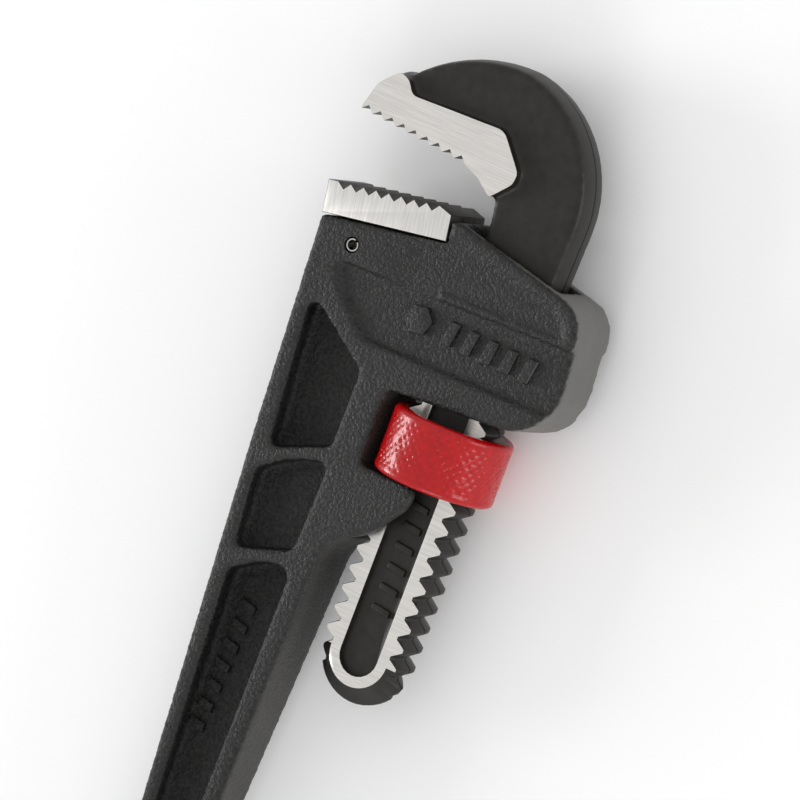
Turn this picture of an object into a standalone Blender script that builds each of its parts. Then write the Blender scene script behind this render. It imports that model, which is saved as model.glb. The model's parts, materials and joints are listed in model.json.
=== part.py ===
"""Ten-inch pipe wrench, modelled as its seven separate pieces.

The wrench lies on its back face: X runs across the jaws with the mouth towards -X, Y runs along the
handle with the jaws towards +Y, and Z is the thickness, front face up. Every outline is drawn on the
middle plane, with its zero at the outer lower corner of the heel jaw's seat. The hook jaw, the nut and
the flat spring are drawn about the shank's own axis, which leans away from the mouth.
"""
from math import ceil, cos, pi, radians, sin, tan

import bmesh
import bpy
from mathutils import Matrix, Vector

MM = 0.001
CLEARANCE = 0.3 * MM            # between pieces that are fitted together
ARC_STEP = radians(15)          # largest turn between two points of a rounded corner
WELD_DISTANCE = 0.02 * MM
CUT_MARGIN = 2 * MM             # how far a cutter stands out of what it cuts

# Frame: handle and housing in one casting
FRAME_THICKNESS = 16 * MM
HANDLE_THICKNESS = 10.8 * MM
TAPER_START = -45 * MM
TAPER_END = -130 * MM
HEAD_WEB = 8 * MM               # left between the upper pockets, front and back
HANDLE_WEB = 5.2 * MM           # left between the long pockets
HOUSING_RIGHT = 60.6 * MM        # at the top; it narrows downwards
HOUSING_LOWER_RIGHT = 58.6 * MM
HOUSING_TOP_SLOPE = radians(21)
HOUSING_TOP_CORNER = 7 * MM
HOUSING_LOW_CORNER = 11 * MM
HOUSING_UNDERSIDE = -30.9 * MM
UNDERSIDE_TILT = radians(5)
LUG_HEIGHT = 4.5 * MM
LUG_WIDTH = 2 * MM
PANEL_DEPTH = 1.2 * MM
BROW_DEPTH = 0.7 * MM
HANDLE_END = -211.5 * MM
HANDLE_END_LEFT = -25.5 * MM
HANDLE_END_RIGHT = -6 * MM
HANDLE_END_CORNER = 8.5 * MM
HANDLE_SWEEP = 150 * MM         # corner radius where the handle bends
HANG_HOLE_RADIUS = 4.2 * MM
HANG_HOLE_SETBACK = 10 * MM

# Heel jaw: the fixed, toothed jaw
HEEL_LENGTH = 28 * MM
HEEL_HEIGHT = 7 * MM
HEEL_THICKNESS = FRAME_THICKNESS - 0.5 * MM
HEEL_LAND = 2.2 * MM
HEEL_CHAMFER = 1.4 * MM         # at the inner end of the tooth row
HEEL_INNER_LAND = 3 * MM        # beyond the last tooth
TONGUE_START = 3 * MM
TONGUE_LENGTH = HEEL_LENGTH - 7 * MM
TONGUE_DEPTH = 8.5 * MM
TONGUE_THICKNESS = 6 * MM
TOOTH_PITCH = 2.85 * MM
TOOTH_DEPTH = 1.3 * MM
HEEL_TEETH = round((HEEL_LENGTH - HEEL_LAND - HEEL_INNER_LAND) / TOOTH_PITCH)

# Split pin that holds the heel jaw
PIN_RADIUS = 1.6 * MM
PIN_WALL = 0.55 * MM
PIN_SLIT = radians(30)
PIN_SLIT_DIRECTION = radians(50)
PIN_X = 8.1 * MM
PIN_Y = -4.7 * MM

# Shank of the hook jaw, its thread and the nut
SHANK_TILT = radians(9.5)
SHANK_THICKNESS = 8.5 * MM
THREAD_PITCH = 4.2 * MM
THREAD_RADIUS = 9.7 * MM
THREAD_ROOT_RADIUS = THREAD_RADIUS - 1.9 * MM
THREAD_CREST_WIDTH = 0.7 * MM
THREAD_ROOT_WIDTH = 0.7 * MM
THREAD_TOP = 5 * MM             # above the shank's zero
THREAD_CLEARANCE = 0.35 * MM
THREAD_SINK = 0.4 * MM          # of the ridge's foot into the core
THREAD_STEPS = 36               # facets in one turn
SHANK_END = -60.8 * MM
SHANK_END_RADIUS = THREAD_RADIUS + 0.2 * MM
SHANK_END_CHAMFER = 3.4 * MM
SHANK_END_LAND = 1.2 * MM
GROOVE_WIDTH = 8.6 * MM
GROOVE_DEPTH = 1.2 * MM
GROOVE_TOP = 13 * MM
NUT_RADIUS = THREAD_RADIUS + 2.8 * MM
NUT_TOP = -1.1 * MM             # upper face, along the shank from its zero
NUT_HEIGHT = 13.7 * MM
NUT_EDGE = 0.9 * MM
NUT_COUNTERSINK = 1.5 * MM
NUT_SIDES = 64
SHANK_X = 35 * MM               # the shank's zero, on its axis just above the nut
SHANK_Y = -33.5 * MM

# Hook jaw
HOOK_THICKNESS = SHANK_THICKNESS + 1 * MM
HOOK_FACE_THICKNESS = 14 * MM   # across the toothed part
HOOK_TEETH = 9
HOOK_TEETH_SLOPE = radians(4.4)
NECK_BACK = THREAD_RADIUS + 2.1 * MM    # behind the shank's axis, where the round back begins
NECK_BACK_LOW = THREAD_RADIUS + 1.5 * MM    # and above the thread
NECK_FRONT = 6.5 * MM           # in front of it
NECK_FLARE = 18 * MM
NECK_OVERLAP = 10 * MM          # of the shank into the neck, above the groove
NECK_FOOT = THREAD_TOP + 3 * MM
NECK_CORNER_Y = 38.8 * MM
BACK_CENTRE = (-13.4 * MM, 44.3 * MM)
BACK_END = radians(82)          # where the round back runs into the flatter crown
CROWN_CENTRE = (-11.3 * MM, 37.6 * MM)
CROWN_RADIUS = 31.7 * MM
CROWN_START = radians(88)
CROWN_END = radians(137)
NOSE_TIP = Vector((-41.2 * MM, 50.1 * MM))
TOOTH_ROW_END = Vector((-14.9 * MM, 47.6 * MM))
INNER_EDGE = [Vector((-11.1 * MM, 46.1 * MM)), Vector((-7.6 * MM, 43.5 * MM))]

# Slot for the shank through the housing
SLOT_WIDTH = HOOK_THICKNESS + 0.8 * MM
SLOT_EASE = 1 * MM              # room beside the thread and the springs
LUG_WALL = 2.1 * MM
LUG_WALL_FOOT = -1.8 * MM
SPRING_ROOM_TOP = -2.8 * MM
NECK_ROOM = 1 * MM              # behind the hook's neck
NECK_ROOM_TOP = 33 * MM
CHANNEL_END = -36 * MM          # of the way past the handle, along the shank
WINDOW_GAP = 0.6 * MM           # between the nut and the frame around it
ROCK_RANGE = radians(4)         # how far the hook jaw rocks towards the heel jaw

# Springs
LEAF_THICKNESS = 0.8 * MM
LEAF_WIDTH = 6 * MM
LEAF_BOTTOM = 0.6 * MM
LEAF_TOP = 22 * MM
LEAF_BEND = radians(25)
LEAF_LIP = 2 * MM
COIL_RADIUS = 2.6 * MM
COIL_WIRE_RADIUS = 0.4 * MM
COIL_TURNS = 6
COIL_Y = -17 * MM
COIL_POCKET_DEPTH = 8 * MM
COIL_STANDOUT = 1 * MM          # how far the pressed coil stands out of its pocket


def clear_scene():
    for item in list(bpy.data.objects):
        bpy.data.objects.remove(item, do_unlink=True)


def add_object(name, mesh, parent):
    item = bpy.data.objects.new(name, mesh)
    bpy.context.scene.collection.objects.link(item)
    item.parent = parent
    return item


def add_empty(name, parent, location, turn=0.0):
    empty = add_object(name, None, parent)
    empty.location = location
    empty.rotation_euler = (0, 0, turn)
    return empty


def finish_mesh(name, shape, parent):
    bmesh.ops.recalc_face_normals(shape, faces=shape.faces)
    mesh = bpy.data.meshes.new(name)
    shape.to_mesh(mesh)
    shape.free()
    return add_object(name, mesh, parent)


def round_corners(corners):
    """Return the outline's points, each corner (x, y, radius) turned into an arc."""
    points = []
    for index, (x, y, radius) in enumerate(corners):
        corner = Vector((x, y))
        to_last = (Vector(corners[index - 1][:2]) - corner).normalized()
        to_next = (Vector(corners[(index + 1) % len(corners)][:2]) - corner).normalized()
        half_angle = to_last.angle(to_next) / 2
        if radius == 0:
            points.append(corner)
            continue
        centre = corner + (to_last + to_next).normalized() * radius / sin(half_angle)
        first = corner + to_last * radius / tan(half_angle) - centre
        last = corner + to_next * radius / tan(half_angle) - centre
        turn = first.angle_signed(last)
        steps = max(1, round(abs(turn) / ARC_STEP))
        for step in range(steps + 1):
            points.append(centre + Matrix.Rotation(-turn * step / steps, 2) @ first)
    return points


def arc_points(centre, radius, start, end, steps):
    """Return points on an arc, angles measured anticlockwise from +X."""
    angles = [start + (end - start) * step / steps for step in range(steps + 1)]
    return [Vector((centre[0] + radius * cos(a), centre[1] + radius * sin(a))) for a in angles]


def prism(name, points, low, high, parent):
    """Extrude an outline from height low to height high."""
    shape = bmesh.new()
    base = shape.faces.new([shape.verts.new((p[0], p[1], low)) for p in points])
    grown = bmesh.ops.extrude_face_region(shape, geom=[base])
    risen = [item for item in grown["geom"] if isinstance(item, bmesh.types.BMVert)]
    bmesh.ops.translate(shape, verts=risen, vec=(0, 0, high - low))
    return finish_mesh(name, shape, parent)


def slab(name, points, thickness, parent):
    """Extrude an outline evenly about the middle plane."""
    return prism(name, points, -thickness / 2, thickness / 2, parent)


def turned(name, profile, steps, parent):
    """Spin a closed profile of (radius, height) points about the Z axis."""
    shape = bmesh.new()
    ring = [shape.verts.new((radius, 0, height)) for radius, height in profile]
    edges = [shape.edges.new((ring[i - 1], ring[i])) for i in range(len(ring))
             if profile[i - 1][0] + profile[i][0] > 0]
    bmesh.ops.spin(shape, geom=ring + edges, axis=(0, 0, 1), cent=(0, 0, 0),
                   angle=2 * pi, steps=steps, use_merge=True)
    bmesh.ops.remove_doubles(shape, verts=shape.verts, dist=0.001 * MM)
    return finish_mesh(name, shape, parent)


def helix(name, profile, pitch, turns, steps, parent):
    """Sweep a closed profile of (radius, height) points up a right-hand helix about Z."""
    shape = bmesh.new()
    start = shape.faces.new([shape.verts.new((radius, 0, height)) for radius, height in profile])
    total = round(turns * steps)
    bmesh.ops.spin(shape, geom=[start], axis=(0, 0, 1), cent=(0, 0, 0),
                   dvec=(0, 0, pitch / steps), angle=2 * pi * total / steps, steps=total)
    return finish_mesh(name, shape, parent)


def along_shank(item):
    """Turn a piece built up the Z axis so that it runs along the shank, towards the jaws."""
    item.rotation_euler = (-pi / 2, 0, 0)
    return item


def combine(target, tool, operation):
    """Add, remove or keep the tool's volume, and leave the tool as a hidden guide."""
    step = target.modifiers.new(operation.title() + "_" + tool.name, "BOOLEAN")
    step.operation = operation
    step.solver = "EXACT"
    step.object = tool
    tool.hide_render = True
    tool.display_type = "WIRE"


def cut(target, tool):
    combine(target, tool, "DIFFERENCE")


def weld(item):
    """Close up the slivers that the cuts leave."""
    step = item.modifiers.new("Weld", "WELD")
    step.merge_threshold = WELD_DISTANCE


def finish(item, name, colour, roughness, metallic, sharp=radians(30)):
    """Give a piece its material and smooth its round faces."""
    material = bpy.data.materials.new(name)
    material.use_nodes = True
    shader = material.node_tree.nodes["Principled BSDF"]
    shader.inputs["Base Color"].default_value = (*colour, 1)
    shader.inputs["Roughness"].default_value = roughness
    shader.inputs["Metallic"].default_value = metallic
    item.data.materials.append(material)
    item.data.shade_smooth()
    item.data.set_sharp_from_angle(angle=sharp)


def tooth_row(start, along, into, count):
    """Return the points of a row of notches that starts at a tooth's tip."""
    points = []
    for tooth in range(count):
        points.append(start + along * (tooth + 0.5) * TOOTH_PITCH + into * TOOTH_DEPTH)
        points.append(start + along * (tooth + 1) * TOOTH_PITCH)
    return points


def shank_point(across, along):
    """Turn a place given about the shank's axis into a place on the frame."""
    return (SHANK_X + across * cos(SHANK_TILT) + along * sin(SHANK_TILT),
            SHANK_Y - across * sin(SHANK_TILT) + along * cos(SHANK_TILT))


def housing_top(x):
    lug_end = HEEL_LENGTH + CLEARANCE + LUG_WIDTH
    return LUG_HEIGHT - (x - lug_end) * tan(HOUSING_TOP_SLOPE)


def housing_underside(x):
    return HOUSING_UNDERSIDE - (x - window_left()) * tan(UNDERSIDE_TILT)


def window_left():
    """Return the window's wall beside the nut, at the height of the housing's underside."""
    return shank_point(-NUT_RADIUS, 0)[0] - WINDOW_GAP


def spring_wall(y):
    """Return the slot's wall behind the springs, at a height on the frame."""
    gap = THREAD_RADIUS + 2 * CLEARANCE + LEAF_THICKNESS + SLOT_EASE
    foot_x, foot_y = shank_point(-gap, 0)
    return foot_x + (y - foot_y) * tan(SHANK_TILT - ROCK_RANGE)


def coil_start():
    return spring_wall(COIL_Y) - COIL_POCKET_DEPTH


def frame_outline():
    lug_start = HEEL_LENGTH + CLEARANCE
    nut_bottom = NUT_TOP - NUT_HEIGHT - WINDOW_GAP
    window_foot = shank_point(-NUT_RADIUS - WINDOW_GAP, nut_bottom)
    lobe_tip = shank_point(0, nut_bottom)
    return round_corners([
        (0, 0, 0.8 * MM),
        (lug_start, 0, 0.2 * MM),
        (lug_start, LUG_HEIGHT, 0.6 * MM),
        (lug_start + LUG_WIDTH, LUG_HEIGHT, 3 * MM),
        (HOUSING_RIGHT, housing_top(HOUSING_RIGHT), HOUSING_TOP_CORNER),
        (HOUSING_LOWER_RIGHT, housing_underside(HOUSING_LOWER_RIGHT), HOUSING_LOW_CORNER),
        (window_left(), HOUSING_UNDERSIDE, 1 * MM),
        (*window_foot, 1.5 * MM),
        (*lobe_tip, 1.5 * MM),
        (31.8 * MM, -52.8 * MM, 5 * MM),
        (24.5 * MM, -59.8 * MM, 8 * MM),
        (15.6 * MM, -63 * MM, 7 * MM),
        (1 * MM, -133 * MM, HANDLE_SWEEP),
        (HANDLE_END_RIGHT, HANDLE_END, HANDLE_END_CORNER),
        (HANDLE_END_LEFT, HANDLE_END, HANDLE_END_CORNER),
        (-14.2 * MM, -130 * MM, HANDLE_SWEEP),
    ])


def upper_pocket():
    return [(3 * MM, -17 * MM, 1.4 * MM), (15.4 * MM, -28.6 * MM, 1.8 * MM),
            (12.6 * MM, -44.6 * MM, 1.6 * MM), (-0.9 * MM, -47.6 * MM, 1.5 * MM),
            (1.3 * MM, -18.4 * MM, 1.4 * MM)]


def middle_pocket():
    return [(-2.7 * MM, -52.2 * MM, 2.5 * MM), (5 * MM, -48.6 * MM, 12 * MM),
            (12.9 * MM, -47.8 * MM, 1.8 * MM), (8.8 * MM, -66.6 * MM, 2.2 * MM),
            (-4.1 * MM, -68.6 * MM, 1.4 * MM)]


def long_pocket():
    return [(-4.4 * MM, -73 * MM, 2 * MM), (3 * MM, -70 * MM, 10 * MM),
            (9.3 * MM, -70.2 * MM, 2.5 * MM), (-2.9 * MM, -133 * MM, HANDLE_SWEEP),
            (-7.6 * MM, -188 * MM, 4.5 * MM), (-18.9 * MM, -188 * MM, 4.5 * MM),
            (-11.1 * MM, -130 * MM, HANDLE_SWEEP)]


def name_panel():
    """Return the head's shallow panel, which runs out through the housing's right side."""
    outside = HOUSING_RIGHT + CUT_MARGIN
    return [(5.2 * MM, -8 * MM, 1.2 * MM), (outside, -15.4 * MM, 0),
            (outside, -29.4 * MM, 0), (14.6 * MM, -22.3 * MM, 4 * MM),
            (7.8 * MM, -14.4 * MM, 6 * MM)]


def brow_panel():
    return [(29.5 * MM, 1.6 * MM, 1 * MM), (54 * MM, -7.2 * MM, 3 * MM),
            (57.2 * MM, -10.6 * MM, 2 * MM), (57 * MM, -13.6 * MM, 1 * MM),
            (24 * MM, -9 * MM, 1 * MM)]


def cut_both_faces(frame, name, corners, floor, parent):
    """Sink an outline into the front and the back, down to the height floor."""
    points = round_corners(corners)
    top = FRAME_THICKNESS / 2 + CUT_MARGIN
    cut(frame, prism(name + "_front", points, floor, top, parent))
    cut(frame, prism(name + "_back", points, -top, -floor, parent))


def taper_cutter(name, side, parent):
    """Return the wedge that thins the handle on one face; side is 1 for the front."""
    outer = FRAME_THICKNESS / 2 + CUT_MARGIN
    profile = [(TAPER_START, FRAME_THICKNESS / 2), (TAPER_END, HANDLE_THICKNESS / 2),
               (HANDLE_END - CUT_MARGIN, HANDLE_THICKNESS / 2),
               (HANDLE_END - CUT_MARGIN, outer), (TAPER_START, outer)]
    shape = bmesh.new()
    left = HANDLE_END / 4
    base = shape.faces.new([shape.verts.new((left, y, side * z)) for y, z in profile])
    grown = bmesh.ops.extrude_face_region(shape, geom=[base])
    moved = [item for item in grown["geom"] if isinstance(item, bmesh.types.BMVert)]
    bmesh.ops.translate(shape, verts=moved, vec=(HOUSING_RIGHT - left, 0, 0))
    return finish_mesh(name, shape, parent)


def slot_outline():
    """Return the shank's way through the housing, wide enough for it to rock."""
    above = housing_top(HEEL_LENGTH) + CUT_MARGIN
    below = housing_underside(HOUSING_RIGHT) - CUT_MARGIN
    back = NECK_BACK + NECK_ROOM
    lug_back = HEEL_LENGTH + CLEARANCE + LUG_WALL
    return [Vector(point) for point in (
        (lug_back, above), (lug_back, LUG_WALL_FOOT), (spring_wall(SPRING_ROOM_TOP), SPRING_ROOM_TOP),
        (spring_wall(below), below), shank_point(THREAD_RADIUS + SLOT_EASE, NUT_TOP - THREAD_PITCH),
        shank_point(back, NECK_ROOM_TOP), (shank_point(back, NECK_ROOM_TOP)[0], above))]


def channel_outline():
    """Return the groove in the frame's side that the thread passes along below the nut."""
    near = -THREAD_RADIUS - SLOT_EASE
    far = THREAD_RADIUS + CUT_MARGIN
    start = NUT_TOP - NUT_HEIGHT / 2
    return [shank_point(near, start), shank_point(near, CHANNEL_END),
            shank_point(far, CHANNEL_END), shank_point(far, start)]


def tongue_slot():
    left = TONGUE_START - CLEARANCE
    right = TONGUE_START + TONGUE_LENGTH + CLEARANCE
    floor = -TONGUE_DEPTH - CLEARANCE
    return [(left, CUT_MARGIN), (left, floor), (right, floor), (right, CUT_MARGIN)]


def bore(name, x, y, radius, parent):
    """Return a round cutter through the whole thickness."""
    height = FRAME_THICKNESS / 2 + CUT_MARGIN
    item = turned(name, [(0, -height), (radius, -height), (radius, height), (0, height)], 24, parent)
    item.location = (x, y, 0)
    return item


def make_frame(parent):
    frame = slab("handle_frame", frame_outline(), FRAME_THICKNESS, parent)
    cut(frame, taper_cutter("taper_front", 1, parent))
    cut(frame, taper_cutter("taper_back", -1, parent))
    cut_both_faces(frame, "upper_pocket", upper_pocket(), HEAD_WEB / 2, parent)
    cut_both_faces(frame, "middle_pocket", middle_pocket(), HEAD_WEB / 2, parent)
    cut_both_faces(frame, "long_pocket", long_pocket(), HANDLE_WEB / 2, parent)
    cut_both_faces(frame, "name_panel", name_panel(), FRAME_THICKNESS / 2 - PANEL_DEPTH, parent)
    cut_both_faces(frame, "brow_panel", brow_panel(), FRAME_THICKNESS / 2 - BROW_DEPTH, parent)
    cut(frame, slab("shank_slot", slot_outline(), SLOT_WIDTH, parent))
    cut(frame, slab("shank_channel", channel_outline(), SLOT_WIDTH, parent))
    cut(frame, slab("tongue_slot", tongue_slot(), TONGUE_THICKNESS + 2 * CLEARANCE, parent))
    cut(frame, bore("pin_hole", PIN_X, PIN_Y, PIN_RADIUS + CLEARANCE, parent))
    hang_x = (HANDLE_END_LEFT + HANDLE_END_RIGHT) / 2
    cut(frame, bore("hang_hole", hang_x, HANDLE_END + HANG_HOLE_SETBACK, HANG_HOLE_RADIUS, parent))
    reach = COIL_RADIUS + COIL_WIRE_RADIUS + CLEARANCE
    depth = COIL_POCKET_DEPTH + 2 * CUT_MARGIN
    pocket = turned("coil_pocket", [(0, 0), (reach, 0), (reach, depth), (0, depth)], 20, parent)
    pocket.location = (coil_start() - CLEARANCE, COIL_Y, 0)
    pocket.rotation_euler = (0, pi / 2, 0)
    cut(frame, pocket)
    finish(frame, "cast_iron_black_powder_coat", (0.035, 0.035, 0.033), 0.6, 0.0)
    return frame


def make_heel_jaw(parent):
    corners = [Vector((0, CLEARANCE)), Vector((0, HEEL_HEIGHT)), Vector((HEEL_LAND, HEEL_HEIGHT))]
    corners += tooth_row(corners[-1], Vector((1, 0)), Vector((0, -1)), HEEL_TEETH)
    corners += [Vector((HEEL_LENGTH, HEEL_HEIGHT - HEEL_CHAMFER)), Vector((HEEL_LENGTH, CLEARANCE))]
    jaw = slab("heel_jaw", corners, HEEL_THICKNESS, parent)
    tongue_end = TONGUE_START + TONGUE_LENGTH
    tongue = slab("heel_tongue", [(TONGUE_START, -TONGUE_DEPTH), (tongue_end, -TONGUE_DEPTH),
                                  (tongue_end, HEEL_HEIGHT / 2), (TONGUE_START, HEEL_HEIGHT / 2)],
                  TONGUE_THICKNESS, parent)
    combine(jaw, tongue, "UNION")
    cut(jaw, bore("heel_pin_hole", PIN_X, PIN_Y, PIN_RADIUS + CLEARANCE, parent))
    finish(jaw, "hardened_steel_ground", (0.62, 0.62, 0.60), 0.3, 1.0)
    return jaw


def make_heel_jaw_pin(parent):
    start = PIN_SLIT_DIRECTION + PIN_SLIT / 2
    end = PIN_SLIT_DIRECTION + 2 * pi - PIN_SLIT / 2
    outer = arc_points((0, 0), PIN_RADIUS, start, end, 22)
    inner = arc_points((0, 0), PIN_RADIUS - PIN_WALL, end, start, 22)
    pin = slab("heel_jaw_pin", outer + inner, HEEL_THICKNESS, parent)
    pin.location = (PIN_X, PIN_Y, 0)
    finish(pin, "spring_steel_bright", (0.7, 0.7, 0.69), 0.25, 1.0)
    return pin


def thread_profile(clearance):
    """Return the ridge of one thread, moved out by the clearance, its foot sunk into the core."""
    flank = (THREAD_PITCH - THREAD_CREST_WIDTH - THREAD_ROOT_WIDTH) / 2
    slope = flank / (THREAD_RADIUS - THREAD_ROOT_RADIUS)
    crest = THREAD_RADIUS + clearance
    foot = THREAD_ROOT_RADIUS + clearance - THREAD_SINK
    crest_half = THREAD_CREST_WIDTH / 2
    foot_half = crest_half + flank + THREAD_SINK * slope
    return [(foot, -foot_half), (crest, -crest_half), (crest, crest_half), (foot, foot_half)]


def thread_ridge(name, low_turns, high_turns, clearance, parent):
    """Return the thread's ridge between two heights, counted in turns from the shank's zero."""
    turns = high_turns - low_turns
    ridge = helix(name, thread_profile(clearance), THREAD_PITCH, turns, THREAD_STEPS, parent)
    ridge.location = (0, low_turns * THREAD_PITCH, 0)
    return along_shank(ridge)


def end_chamfer(name, side, centre, parent):
    """Return the half ring that slopes the shank's round end; side is 1 for the front."""
    face = SHANK_THICKNESS / 2
    slope = (face - SHANK_END_LAND / 2) / SHANK_END_CHAMFER
    inside = SHANK_END_RADIUS - SHANK_END_CHAMFER
    outside = SHANK_END_RADIUS + CUT_MARGIN
    foot = SHANK_END_LAND / 2 - CUT_MARGIN * slope
    profile = [(inside, side * face), (outside, side * foot),
               (outside, side * (face + CUT_MARGIN)), (inside, side * (face + CUT_MARGIN))]
    ring = helix(name, profile, 0, 0.5, 48, parent)
    ring.location = (0, centre, 0)
    ring.rotation_euler = (0, 0, pi)
    return ring


def cut_shank_groove(flats, parent):
    """Sink the long groove into the shank's front and back, its lower end round."""
    half = GROOVE_WIDTH / 2
    end_centre = SHANK_END + SHANK_END_RADIUS
    points = arc_points((0, end_centre), half, pi, 2 * pi, 12)
    points += [Vector((half, GROOVE_TOP)), Vector((-half, GROOVE_TOP))]
    floor = SHANK_THICKNESS / 2 - GROOVE_DEPTH
    top = SHANK_THICKNESS / 2 + CUT_MARGIN
    cut(flats, prism("groove_front", points, floor, top, parent))
    cut(flats, prism("groove_back", points, -top, -floor, parent))


def make_shank(parent):
    """Return the threaded shank: a screw with its front and back faces cut flat."""
    neck_top = GROOVE_TOP + NECK_OVERLAP
    shank = along_shank(turned("shank", [
        (0, SHANK_END - CUT_MARGIN), (THREAD_ROOT_RADIUS, SHANK_END - CUT_MARGIN),
        (THREAD_ROOT_RADIUS, neck_top + CUT_MARGIN), (0, neck_top + CUT_MARGIN)],
        THREAD_STEPS, parent))
    turns_below = -ceil(-SHANK_END / THREAD_PITCH) - 1
    combine(shank, thread_ridge("shank_thread", turns_below, 3, 0, parent), "UNION")
    reach = THREAD_RADIUS + CUT_MARGIN
    end_centre = SHANK_END + SHANK_END_RADIUS
    run_out = THREAD_TOP + THREAD_RADIUS - THREAD_ROOT_RADIUS
    outline = arc_points((0, end_centre), SHANK_END_RADIUS, pi, 2 * pi, 20)
    outline += [Vector(point) for point in (
        (reach, end_centre), (reach, THREAD_TOP), (THREAD_ROOT_RADIUS - CLEARANCE, run_out),
        (THREAD_ROOT_RADIUS - CLEARANCE, neck_top), (CLEARANCE - NECK_FRONT, neck_top),
        (CLEARANCE - NECK_FRONT, run_out), (-reach, THREAD_TOP), (-reach, end_centre))]
    flats = slab("shank_flats", outline, SHANK_THICKNESS, parent)
    for side in (1, -1):
        cut(flats, end_chamfer(f"shank_end_chamfer_{side}", side, end_centre, parent))
    cut_shank_groove(flats, parent)
    combine(shank, flats, "INTERSECT")
    weld(shank)
    return shank


def hook_outline():
    """Return the hook's side view without its teeth: neck, curved back, nose and inner edge."""
    back_radius = NECK_BACK - BACK_CENTRE[0]
    points = [Vector((-NECK_FRONT, NECK_FOOT)), Vector((THREAD_ROOT_RADIUS, NECK_FOOT)),
              Vector((NECK_BACK_LOW, NECK_FOOT + NECK_FLARE))]
    points += arc_points(BACK_CENTRE, back_radius, 0, BACK_END, 12)
    points += arc_points(CROWN_CENTRE, CROWN_RADIUS, CROWN_START, CROWN_END, 9)
    inside = 2 * TOOTH_DEPTH
    points += [NOSE_TIP + Vector((inside, inside / 2)), TOOTH_ROW_END + Vector((0, inside))]
    points += [corner + Vector((CLEARANCE, CLEARANCE)) for corner in INNER_EDGE]
    points += [Vector((-NECK_FRONT, NECK_CORNER_Y))]
    return points


def tooth_face_outline():
    """Return the outline of the toothed part, from the nose round its upper edge and the teeth."""
    along = Vector((cos(HOOK_TEETH_SLOPE), -sin(HOOK_TEETH_SLOPE)))
    into = Vector((-along.y, along.x))
    first_tip = TOOTH_ROW_END - along * TOOTH_PITCH * HOOK_TEETH
    points = [NOSE_TIP, first_tip]
    points += tooth_row(first_tip, along, into, HOOK_TEETH)
    points += INNER_EDGE
    upper = [(-3.7 * MM, 47.7 * MM, 1 * MM), (-3.4 * MM, 50.1 * MM, 1.2 * MM),
             (-9.4 * MM, 56.9 * MM, 2.2 * MM), (-31 * MM, 56 * MM, 2 * MM),
             (-33.2 * MM, 59 * MM, 1 * MM), (-35.6 * MM, 59.8 * MM, 0),
             (-39.5 * MM, 56 * MM, 3 * MM), (*NOSE_TIP, 0), (*INNER_EDGE[-1], 0)]
    rounded = round_corners(upper)
    points += rounded[:-2]
    return points


def make_hook_jaw(parent):
    jaw = slab("hook_jaw", hook_outline(), HOOK_THICKNESS, parent)
    combine(jaw, slab("tooth_block", tooth_face_outline(), HOOK_FACE_THICKNESS, parent), "UNION")
    combine(jaw, make_shank(parent), "UNION")
    finish(jaw, "forged_steel_black", (0.02, 0.02, 0.02), 0.45, 0.0)
    return jaw


def make_nut(parent):
    bore_radius = THREAD_ROOT_RADIUS + THREAD_CLEARANCE
    mouth = THREAD_RADIUS + THREAD_CLEARANCE + CLEARANCE
    sink = NUT_COUNTERSINK
    nut = along_shank(turned("adjusting_nut", [
        (bore_radius, sink - NUT_HEIGHT), (mouth, -NUT_HEIGHT), (NUT_RADIUS - NUT_EDGE, -NUT_HEIGHT),
        (NUT_RADIUS, NUT_EDGE - NUT_HEIGHT), (NUT_RADIUS, -NUT_EDGE), (NUT_RADIUS - NUT_EDGE, 0),
        (mouth, 0), (bore_radius, -sink)], NUT_SIDES, parent))
    nut.location = (0, NUT_TOP, 0)
    turns_below = -ceil((NUT_HEIGHT - NUT_TOP) / THREAD_PITCH) - 1
    cut(nut, thread_ridge("nut_thread", turns_below, 1, THREAD_CLEARANCE, parent))
    finish(nut, "steel_red_enamel", (0.62, 0.01, 0.015), 0.25, 0.0)
    return nut


def make_flat_spring(parent):
    """Return the leaf that lies against the thread, its upper end bent away."""
    face = -THREAD_RADIUS - CLEARANCE
    back = face - LEAF_THICKNESS
    lip = Vector((-sin(LEAF_BEND), cos(LEAF_BEND))) * LEAF_LIP
    outline = [Vector((face, LEAF_BOTTOM)), Vector((face, LEAF_TOP)),
               Vector((face, LEAF_TOP)) + lip, Vector((back, LEAF_TOP)) + lip,
               Vector((back, LEAF_TOP)), Vector((back, LEAF_BOTTOM))]
    spring = slab("flat_spring", outline, LEAF_WIDTH, parent)
    finish(spring, "spring_steel_strip", (0.5, 0.5, 0.48), 0.35, 1.0)
    return spring


def make_coil_spring(parent):
    """Return the coil that lies in the housing and presses the flat spring to the shank."""
    length = COIL_POCKET_DEPTH + COIL_STANDOUT
    wire = [(COIL_RADIUS + COIL_WIRE_RADIUS * cos(a), COIL_WIRE_RADIUS * (1 + sin(a)))
            for a in [2 * pi * side / 8 for side in range(8)]]
    pitch = (length - 2 * COIL_WIRE_RADIUS) / COIL_TURNS
    coil = helix("coil_spring", wire, pitch, COIL_TURNS, 20, parent)
    coil.location = (coil_start(), COIL_Y, 0)
    coil.rotation_euler = (0, pi / 2, 0)
    finish(coil, "spring_steel_wire", (0.5, 0.5, 0.48), 0.35, 1.0)
    return coil


def stand_on_floor(origin):
    """Move the whole wrench so that its zero is under its middle, at its lowest point."""
    bpy.context.view_layer.update()
    depsgraph = bpy.context.evaluated_depsgraph_get()
    corners = []
    for item in bpy.data.objects:
        if item.type == "MESH" and not item.hide_render:
            shape = item.evaluated_get(depsgraph)
            corners += [shape.matrix_world @ vertex.co for vertex in shape.data.vertices]
    low = [min(corner[axis] for corner in corners) for axis in range(3)]
    high = [max(corner[axis] for corner in corners) for axis in range(3)]
    origin.location = (-(low[0] + high[0]) / 2, -(low[1] + high[1]) / 2, -low[2])


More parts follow.
